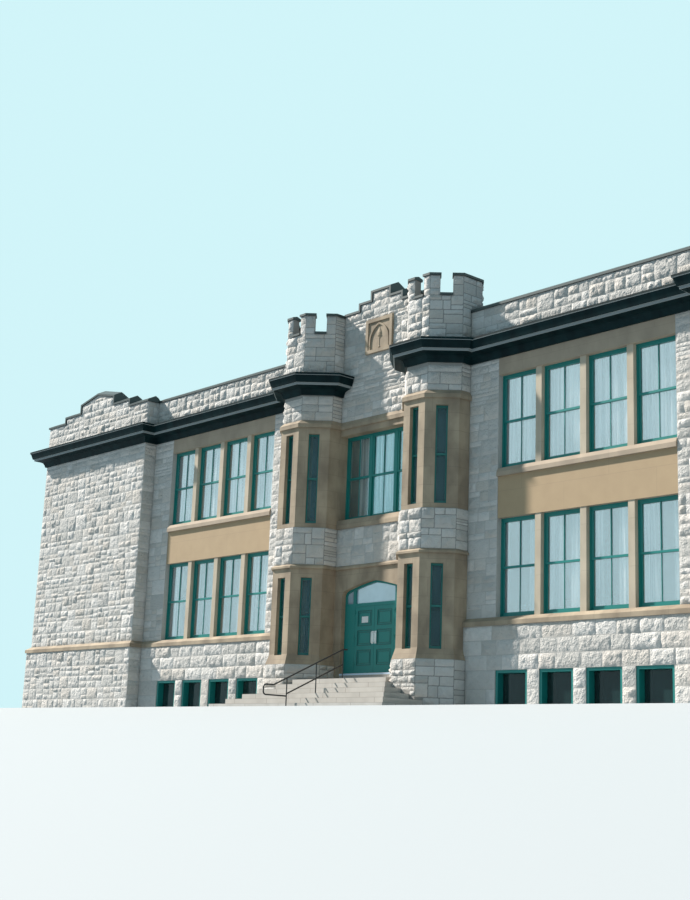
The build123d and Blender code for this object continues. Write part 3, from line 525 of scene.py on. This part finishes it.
class Wall:
    """One flat stretch of rock-faced wall, on which stones are laid in courses."""

    def __init__(self, key, faces, step, relief, style, joint):
        self.normal = Vector((key[0], key[1], 0)).normalized()
        self.offset = key[2]
        self.place = facing(self.normal, self.offset)
        self.faces = faces
        self.step = step
        self.relief = relief
        self.style = style
        self.joint = joint
        self.rng = random.Random(str(key))
        self.shape = Shape()

    def is_open(self, u, z):
        """Whether a point of the wall faces the open air: not covered, and not indoors."""
        point = self.place @ Vector((u, 0, z)) + self.normal * CLEAR
        hit = ALL_SOLIDS.ray_cast(point, self.normal)
        if hit[0] is not None and hit[1].dot(self.normal) > 0.01:
            return False
        return z > WALL_TOP or ALL_FLOORS.ray_cast(point + self.normal * OUTSIDE, -UP)[0] is None

    def open_spans(self, a, b, z):
        """The parts of a stretch that face the open air."""
        count = max(1, math.ceil((b - a) / LOOK))
        size = (b - a) / count
        middles = [a + (i + 0.5) * size for i in range(count)]
        flags = [self.is_open(u, z) for u in middles]
        spans = []
        start = a if flags[0] else None
        for i in range(1, count):
            if flags[i] == flags[i - 1]:
                continue
            low, high = middles[i - 1], middles[i]
            for _ in range(6):
                middle = (low + high) / 2
                if self.is_open(middle, z) == flags[i - 1]:
                    low = middle
                else:
                    high = middle
            if flags[i]:
                start = high
            else:
                spans.append((start, low))
                start = None
        if start is not None:
            spans.append((start, b))
        return spans

    def stone(self, u0, u1, z0, z1):
        """One stone: pitched margins round a rough face that stands out from the wall."""
        rng = self.rng
        half = self.joint / 2

        def lines(a, b):
            a, b = a + half, b - half
            margin = min(MARGIN, (b - a) / 4)
            count = max(1, round((b - a) / self.step))
            inner = [a + margin + i * (b - a - 2 * margin) / count for i in range(count + 1)]
            return [a] + inner + [b]

        us, zs = lines(u0, u1), lines(z0, z1)
        proud = self.relief * rng.uniform(*PROUD_SHARES)
        lean_u, lean_z = rng.uniform(-LEAN, LEAN), rng.uniform(-LEAN, LEAN)
        rows = []
        for j, z in enumerate(zs):
            row = []
            for i, u in enumerate(us):
                edge = i in (0, len(us) - 1) or j in (0, len(zs) - 1)
                near_edge = i in (1, len(us) - 2) or j in (1, len(zs) - 2)
                share_u = (u - us[0]) / (us[-1] - us[0]) - 0.5
                share_z = (z - zs[0]) / (zs[-1] - zs[0]) - 0.5
                if edge:
                    out = -SINK
                elif near_edge:
                    out = proud * rng.uniform(*MARGIN_SHARES)
                else:
                    knob = rng.random() ** 1.5
                    out = proud * (LEAST + lean_u * share_u + lean_z * share_z + KNOB * knob)
                shift = 0 if edge or near_edge else self.step * SHIFT
                spot = Vector((u + rng.uniform(-shift, shift), -out, z + rng.uniform(-shift, shift)))
                row.append(self.place @ spot)
            rows.append(row)
        self.shape.grid(rows)

    def fill(self, a, b, z0, z1):
        """Lay the stones of one band."""
        rng = self.rng
        regular = self.style == "coursed" or z1 - z0 < LOW
        low, high = COURSED_LENGTHS if self.style == "coursed" else SQUARED_LENGTHS
        u = a
        while u < b - 1e-6:
            v = u + rng.uniform(low, high)
            if b - v < STUB:
                v = b
            if regular or (FULL[0] < v - u < FULL[1] and rng.random() < FULL_CHANCE):
                self.stone(u, v, z0, z1)
            else:
                middle = z0 + (z1 - z0) * rng.choice(SPLITS)
                for c, d in ((z0, middle), (middle, z1)):
                    if v - u > CUT or (v - u > MAYBE_CUT and rng.random() < CUT_CHANCE):
                        cut = u + (v - u) * rng.uniform(*CUTS)
                        self.stone(u, cut, c, d)
                        self.stone(cut, v, c, d)
                    else:
                        self.stone(u, v, c, d)
            u = v

    def lay(self, z0, z1):
        """Lay one band, in thinner courses where the open wall isn't a plain rectangle."""
        inset = (z1 - z0) * 0.04
        levels = []
        for z in (z0 + inset, (z0 + z1) / 2, z1 - inset):
            levels.append([own for a, b in spans_at(self.faces, z) for own in self.open_spans(a, b, z)])
        spans = shared(shared(levels[0], levels[1]), levels[2])
        widest = max(length(level) for level in levels)
        bare = widest - length(spans)
        thinnest = THINNEST if bare > MUCH * widest else THIN
        if bare > BARE and z1 - z0 > thinnest:
            middle = (z0 + z1) / 2
            self.lay(z0, middle)
            self.lay(middle, z1)
            return
        for a, b in spans:
            self.fill(a, b, z0, z1)

    def build(self, band):
        """Lay the whole wall, in bands that keep to the edges of its openings."""
        heights = sorted({round(z, 3) for face in self.faces for _, z in face})
        for bottom, top in zip(heights, heights[1:]):
            if top - bottom < 0.02:
                continue
            count = max(1, round((top - bottom) / band))
            vary = 0 if self.style == "coursed" else UNEVEN
            shares = [self.rng.uniform(1 - vary, 1 + vary) for _ in range(count)]
            z = bottom
            for share in shares:
                size = (top - bottom) * share / sum(shares)
                self.lay(z, z + size)
                z += size
        return self.shape


FRONT, BACK, OUTER_SIDES = [(0, -1)], [(0, 1)], [(1, 0), (-1, 0)]
FINE, COARSE = 0.072, 0.15
# For each node: the ways that its stones face (None for all), the grid of a stone, how far
# its face stands out, and the bond
STONEWORK = {
    "front_wing_base": (FRONT, FINE, 0.030, "coursed"),
    "front_wing_piers": (FRONT, FINE, 0.028, "squared"),
    "pavilion_walls": (FRONT + OUTER_SIDES, FINE, 0.026, "squared"),
    "wing_parapets": (FRONT, FINE, 0.032, "squared"),
    "pavilion_parapets": (FRONT + OUTER_SIDES, FINE, 0.028, "squared"),
    "centre_band": (FRONT, FINE, 0.026, "squared"),
    "centre_parapet": (FRONT, FINE, 0.038, "squared"),
    "turret_bases": (None, FINE, 0.038, "squared"),
    "turret_bands": (None, FINE, 0.036, "squared"),
    "turret_crowns": (None, FINE, 0.036, "squared"),
    "side_walls": (OUTER_SIDES, COARSE, 0.034, "squared"),
    "side_parapets": (OUTER_SIDES, COARSE, 0.036, "squared"),
    "back_wall": (BACK + OUTER_SIDES, COARSE, 0.034, "squared"),
    "back_parapet": (BACK + OUTER_SIDES, COARSE, 0.036, "squared"),
}
# The side walls' faces lie further out than this, and the reveals of the back's windows don't
SIDE_FACE = cad_box[1][0] - 0.9
turret_points = [p for solid in islands("turret_crowns") for p in solid if p.x > 0]
TURRET = Vector((
    (min(p.x for p in turret_points) + max(p.x for p in turret_points)) / 2,
    (min(p.y for p in turret_points) + max(p.y for p in turret_points)) / 2, 0))


def outward(name, key, faces):
    """Whether a plane of a turret faces away from the turret's middle."""
    if not name.startswith("turret"):
        return True
    normal = Vector((key[0], key[1], 0))
    along = Vector((-normal.y, normal.x, 0))
    middle = sum(u for face in faces for u, _ in face) / sum(len(face) for face in faces)
    centre = along * middle + normal * key[2]
    axis = Vector((math.copysign(TURRET.x, centre.x), TURRET.y, 0))
    return normal.dot(centre - axis) > 0.3


def lay_stones():
    """One piece of stones for each rock-faced node."""
    for name, (normals, step, relief, style) in STONEWORK.items():
        whole = Shape()
        joint = WIDE_JOINT if name.startswith("turret") else JOINT
        band = COURSED if style == "coursed" else SQUARED
        planes = upright_planes(name, normals)
        for key, faces in sorted(planes.items()):
            if name == "back_wall" and abs(key[0]) > 0.9 and key[2] < SIDE_FACE:
                continue
            by_side = {}
            for face in faces:
                side = 0
                if name.startswith("turret"):
                    normal = Vector((key[0], key[1], 0))
                    point = Vector((-normal.y, normal.x, 0)) * face[0][0] + normal * key[2]
                    side = 1 if point.x > 0 else -1
                by_side.setdefault(side, []).append(face)
            for side, own in sorted(by_side.items()):
                if not outward(name, key, own):
                    continue
                part = Wall((*key, side), own, step, relief, style, joint).build(band)
                start = len(whole.points)
                whole.points += part.points
                whole.faces += [tuple(start + i for i in face) for face in part.faces]
        whole.make(name + "_stones", ROCK, smooth=True)


lay_stones()


# Windows

# Sash sections, as in the CAD
CASING, STILE, RAIL, BOTTOM_RAIL = 0.05, 0.055, 0.06, 0.085
MULLION = 0.11
# Glazing bars and the lower sash's face: width, depths, and their back, just before the glass
BAR, UPPER_BAR_DEPTH, LOWER_BAR_DEPTH, SASH_FACE = 0.018, 0.03, 0.014, 0.012
BARS_BACK = 0.055
# Curtains: distance behind the frame, and heights under its head and over its foot
CURTAIN_BACK, CURTAIN_HEAD, CURTAIN_FOOT = 0.04, 0.08, 0.1
ROD_RADIUS, ROD_TOP, ROD_FOOT = 0.008, 0.074, 0.09
FOLDS, WIDE_FOLDS = 3, 6
FOLD_STEPS, DROP_STEPS = 10, 6
FOLD_DEPTH, FLARE, SWAY, BUNCHING = 0.028, 0.008, 0.006, 0.25
# The share of a window that stays open between its two curtains in the lower storey
OPEN_SHARES = (0.15, 0.4, 0.6)


def outlook(points):
    """The way a window faces, from where it stands in the building, and its box."""
    low = Vector([min(p[i] for p in points) for i in range(3)])
    high = Vector([max(p[i] for p in points) for i in range(3)])
    middle = (low + high) / 2
    if high.x - low.x > high.y - low.y:
        return Vector((0, -1 if middle.y < cad_box[1][1] / 2 else 1, 0)), low, high
    return Vector((math.copysign(1, middle.x), 0, 0)), low, high


bars = Shape()
rods = Shape()


def curtain(name, place, x0, x1, y, z0, z1, folds, rng):
    """One gathered curtain hung from its rod."""
    shape = Shape()
    count = folds * FOLD_STEPS
    rows = []
    phase = rng.uniform(0, 6)
    for j in range(DROP_STEPS + 1):
        share = j / DROP_STEPS
        z = z1 - (z1 - z0) * share
        row = []
        for i in range(count + 1):
            t = i / count
            bunch = folds * t + BUNCHING * math.sin(2 * math.pi * t * 1.7 + 3 * phase)
            deep = (FOLD_DEPTH + FLARE * share) * math.sin(2 * math.pi * bunch + phase)
            sway = SWAY * math.sin(3 * share + i * 0.7)
            row.append(place @ Vector((x0 + (x1 - x0) * t + sway * share, y + deep, z)))
        rows.append(row)
    shape.grid(rows)
    obj = shape.make(name, CURTAIN, smooth=True)


def sash_lines(place, a, b, front, z0, z1):
    """The glazing bars of a two-over-two window, and the lower sash's outer face."""
    middle, meeting = (a + b) / 2, (z0 + z1) / 2
    low, high = z0 + CASING, z1 - CASING
    upper = (meeting + RAIL / 2, high - RAIL)
    lower = (low + BOTTOM_RAIL, meeting - RAIL / 2)
    back = front + BARS_BACK
    for depth, heights in ((UPPER_BAR_DEPTH, upper), (LOWER_BAR_DEPTH, lower)):
        bars.box(place, middle - BAR / 2, middle + BAR / 2, back - depth, back, *heights)
    for x0, x1 in ((a, a + STILE), (b - STILE, b)):
        bars.box(place, x0, x1, back - SASH_FACE, back, low, lower[1])
    bars.box(place, a + STILE, b - STILE, back - SASH_FACE, back, low, lower[0])


def dress_windows(name, rng):
    """Bars, curtain rods and curtains of all the windows of a node."""
    for index, points in enumerate(islands(name)):
        normal, low, high = outlook(points)
        place = facing(normal)
        along = Vector((-normal.y, normal.x, 0))
        ends = sorted((low.dot(along), high.dot(along)))
        depths = sorted((-low.dot(normal), -high.dot(normal)))
        panes = 3 if name == "centre_window_frame" else 1
        inner = (ends[1] - ends[0] - 2 * CASING - (panes - 1) * MULLION) / panes
        for pane in range(panes):
            a = ends[0] + CASING + pane * (inner + MULLION)
            b = a + inner
            sash_lines(place, a, b, depths[0], low.z, high.z)
            back = depths[1] + CURTAIN_BACK
            depth = (back - ROD_RADIUS, back + ROD_RADIUS)
            rods.box(place, a - CASING, b + CASING, *depth, high.z - ROD_FOOT, high.z - ROD_TOP)
            upstairs = low.z > LOWER_HEAD
            gap = 0 if upstairs else rng.choice(OPEN_SHARES) * inner
            middle = (a + b) / 2 + rng.uniform(-0.15, 0.15) * inner
            if normal.y > -0.5:
                stretches = (("", a, b, WIDE_FOLDS),)
            elif panes == 3 and pane == 0:
                stretches = (("", middle, b, FOLDS),)
            else:
                stretches = (("_a", a, middle - gap / 2, FOLDS), ("_b", middle + gap / 2, b, FOLDS))
            for ending, x0, x1, folds in stretches:
                label = f"{name}_curtain_{index}_{pane}{ending}"
                curtain(label, place, x0, x1, back, low.z + CURTAIN_FOOT, high.z - CURTAIN_HEAD, folds, rng)


window_rng = random.Random(7)
for name in ("front_window_frames", "centre_window_frame", "side_window_frames", "back_window_frames"):
    dress_windows(name, window_rng)
bars.make("window_bars", FACINGS["green_paint"])
rods.make("curtain_rods", FACINGS["rail_paint"])


# Entrance doors

# Leaf sections, as in the CAD
LEAF_THICKNESS, PANEL_RECESS = 0.045, 0.012
# Each panel has two rings: (distance from the panel's edge, width, how proud)
MOULDINGS = ((0, 0.022, 0.017), (0.06, 0.014, 0.007))
# The white plate on the upper panel: distances from its sides, foot and head, and thickness
PLATE_SIDES, PLATE_FOOT, PLATE_HEAD, PLATE_THICKNESS = 0.17, 0.10, 0.18, 0.004
STRIP_HEIGHT, STRIP_THICKNESS = 0.05, 0.003
FRONT_PLACE = facing(Vector((0, -1, 0)))


def leaf_panels(name):
    """The back face's y, the sides and the heights of a leaf's sunk panels."""
    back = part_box(name)[1][1]
    sunk = [v.co for v in nodes[name].data.vertices if abs(v.co.y - back + PANEL_RECESS) < 0.001]
    xs = [p.x for p in sunk]
    zs = sorted({round(p.z, 3) for p in sunk})
    return back, (min(xs), max(xs)), list(zip(zs[0::2], zs[1::2]))


def leaf_mouldings(name, body):
    """Raised mouldings round the sunk panels of a leaf, on both faces."""
    shape = Shape()
    back, (x0, x1), heights = leaf_panels(name)
    sunk_front = back - LEAF_THICKNESS + PANEL_RECESS
    sunk_back = back - PANEL_RECESS
    for z0, z1 in heights:
        for inset, width, proud in MOULDINGS:
            ring = (x0 + inset, x1 - inset, z0 + inset, z1 - inset)
            hole = (ring[0] + width, ring[1] - width, ring[2] + width, ring[3] - width)
            shape.ring(FRONT_PLACE, ring, hole, sunk_front - proud, sunk_front)
            shape.ring(FRONT_PLACE, ring, hole, sunk_back, sunk_back + min(proud, PANEL_RECESS - 0.001))
    shape.make(name + "_mouldings", FACINGS["dark_green"], body)


def leaf_plate():
    """A blank plate on the left leaf's upper panel, where the photo has a paper notice."""
    back, (x0, x1), heights = leaf_panels("left_door_leaf")
    sunk = back - LEAF_THICKNESS + PANEL_RECESS
    z0, z1 = heights[-1]
    plate = Shape()
    plate.box(
        FRONT_PLACE, x0 + PLATE_SIDES, x1 - PLATE_SIDES, sunk - PLATE_THICKNESS, sunk,
        z0 + PLATE_FOOT, z1 - PLATE_HEAD)
    plate.make("left_leaf_plate", PLATE, "left_leaf")


def threshold_strip():
    """The pale edge on the front of the door's sill."""
    low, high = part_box("door_threshold")
    strip = Shape()
    strip.box(
        FRONT_PLACE, low[0], high[0], low[1] - STRIP_THICKNESS, low[1], high[2] - STRIP_HEIGHT, high[2])
    strip.make("threshold_strip", STRIP)


leaf_mouldings("left_door_leaf", "left_leaf")
leaf_mouldings("right_door_leaf", "right_leaf")
leaf_plate()
threshold_strip()


# Relief panel: a torch in a pointed niche

# The CAD panel's border, and the arch's moulding: width, how proud, and radius of each half
BORDER = 0.11
ARCH_WIDTH, ARCH_PROUD, ARCH_RADIUS, ARCH_STEPS = 0.055, 0.034, 0.60, 14
SIDE_GAP, TOP_GAP = 0.04, 0.05
# The torch: (radius, height) up the handle, the cup and the flame, which twists above FLAME_FOOT
TORCH = [
    (0.02, 0.00), (0.05, 0.02), (0.024, 0.06), (0.030, 0.28), (0.045, 0.31), (0.032, 0.33),
    (0.085, 0.38), (0.098, 0.41), (0.070, 0.42), (0.085, 0.47), (0.062, 0.55), (0.030, 0.63), (0.004, 0.69),
]
FLAME_FOOT, TORCH_FOOT, FLATTENED, TORCH_STEPS = 0.43, 0.03, 0.42, 16


def arch_moulding(shape, edge, field, bottom, top):
    """The raised moulding of a pointed arch, as two mirrored halves."""
    spring = top - TOP_GAP - math.sqrt(ARCH_RADIUS ** 2 - (ARCH_RADIUS - edge) ** 2)
    last = math.acos((ARCH_RADIUS - edge) / ARCH_RADIUS)
    path = [(edge, bottom + 0.001), (edge, spring)]
    for i in range(1, ARCH_STEPS + 1):
        angle = last * i / ARCH_STEPS
        x = edge - ARCH_RADIUS + ARCH_RADIUS * math.cos(angle)
        path.append((x, spring + ARCH_RADIUS * math.sin(angle)))
    for side in (-1, 1):
        rows = [[], [], [], []]
        for x, z in path:
            angle = math.asin(min(1, max(0, (z - spring) / ARCH_RADIUS)))
            outer = Vector((x, field, z))
            inner = outer - Vector((math.cos(angle), 0, math.sin(angle))) * ARCH_WIDTH
            section = ((outer, 0), (outer, ARCH_PROUD), (inner, ARCH_PROUD), (inner, 0))
            for row, (point, proud) in zip(rows, section):
                row.append(Vector((side * point.x, field - proud, point.z)))
        shape.grid(rows if side < 0 else rows[::-1])


def torch(shape, field, bottom):
    """Half a turned torch on the field, flattened, with a twisted flame."""
    rows = []
    for r, z in TORCH:
        row = []
        for i in range(TORCH_STEPS + 1):
            angle = math.pi * i / TORCH_STEPS
            twist = 1 + (0.16 * math.sin(5 * angle + 9 * z) if z > FLAME_FOOT else 0)
            y = field - FLATTENED * r * math.sin(angle)
            row.append(Vector((r * twist * math.cos(angle), y, bottom + TORCH_FOOT + z)))
        rows.append(row)
    shape.grid(rows)


def relief():
    """The arch and the torch on the panel's sunk field, half as deep as the panel."""
    low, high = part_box("relief_panel")
    field = (low[1] + high[1]) / 2
    half = (high[0] - low[0]) / 2 - BORDER
    bottom, top = low[2] + BORDER, high[2] - BORDER
    shape = Shape()
    arch_moulding(shape, half - SIDE_GAP, field, bottom, top)
    torch(shape, field, bottom)
    shape.make("relief_torch", FACINGS["sandstone"])


relief()


# Eased edges on dressed stone

MULLION_CHAMFER, STEP_ROUNDING = 0.035, 0.012


def ease(name, width, segments=1):
    """Bevel the square edges of a CAD node."""
    modifier = nodes[name].modifiers.new("eased", "BEVEL")
    modifier.width = width
    modifier.segments = segments
    modifier.limit_method = "ANGLE"
    modifier.angle_limit = math.radians(50)


for name in MULLIONS:
    ease(name, MULLION_CHAMFER)
ease("entrance_steps", STEP_ROUNDING, 2)


# Light

AMBIENT, AMBIENT_STRENGTH = (0.5, 0.8, 1, 1), 0.45
BACKDROP = (0.64, 0.91, 0.95, 1)
# The sun's direction is fitted to the shadows in the photograph
SUN_DIRECTION = Vector((2.5, 1, -2.2))
SUN_COLOUR, SUN_ENERGY, SUN_WIDTH = (1, 0.93, 0.87), 8, math.radians(2)

world = bpy.data.worlds.new("studio")
world.use_nodes = True
links, shaders = world.node_tree.links, world.node_tree.nodes
ambient = shaders["Background"]
ambient.inputs["Color"].default_value = AMBIENT
ambient.inputs["Strength"].default_value = AMBIENT_STRENGTH
backdrop = shaders.new("ShaderNodeBackground")
backdrop.inputs["Color"].default_value = BACKDROP
ray = shaders.new("ShaderNodeLightPath")
seen = ray.outputs["Is Camera Ray"]
for kind in ("Is Glossy Ray", "Is Transmission Ray"):
    either = shaders.new("ShaderNodeMath")
    either.operation = "MAXIMUM"
    links.new(seen, either.inputs[0])
    links.new(ray.outputs[kind], either.inputs[1])
    seen = either.outputs[0]
mixer = shaders.new("ShaderNodeMixShader")
links.new(seen, mixer.inputs[0])
links.new(ambient.outputs[0], mixer.inputs[1])
links.new(backdrop.outputs[0], mixer.inputs[2])
links.new(mixer.outputs[0], shaders["World Output"].inputs["Surface"])
scene.world = world
sun_data = bpy.data.lights.new("key", "SUN")
sun_data.energy = SUN_ENERGY
sun_data.color = SUN_COLOUR
sun_data.angle = SUN_WIDTH
sun = bpy.data.objects.new("key", sun_data)
sun.rotation_mode = "QUATERNION"
sun.rotation_quaternion = SUN_DIRECTION.to_track_quat("-Z", "Y")
scene.collection.objects.link(sun)


# Floor: level round the building, and falling away in front of the steps

REACH, CREST, FAR_FRONT, FALL = 300, -4.3, -60, -5.6
floor_lines = ((REACH, 0), (CREST, 0), (FAR_FRONT, FALL))
floor_points = [(side * REACH, y, z) for y, z in floor_lines for side in (-1, 1)]
floor_mesh = bpy.data.meshes.new("floor")
floor_mesh.from_pydata(floor_points, [], [(0, 2, 3, 1), (2, 4, 5, 3)])
floor = bpy.data.objects.new("floor", floor_mesh)
floor_mesh.materials.append(floor_paint())
scene.collection.objects.link(floor)
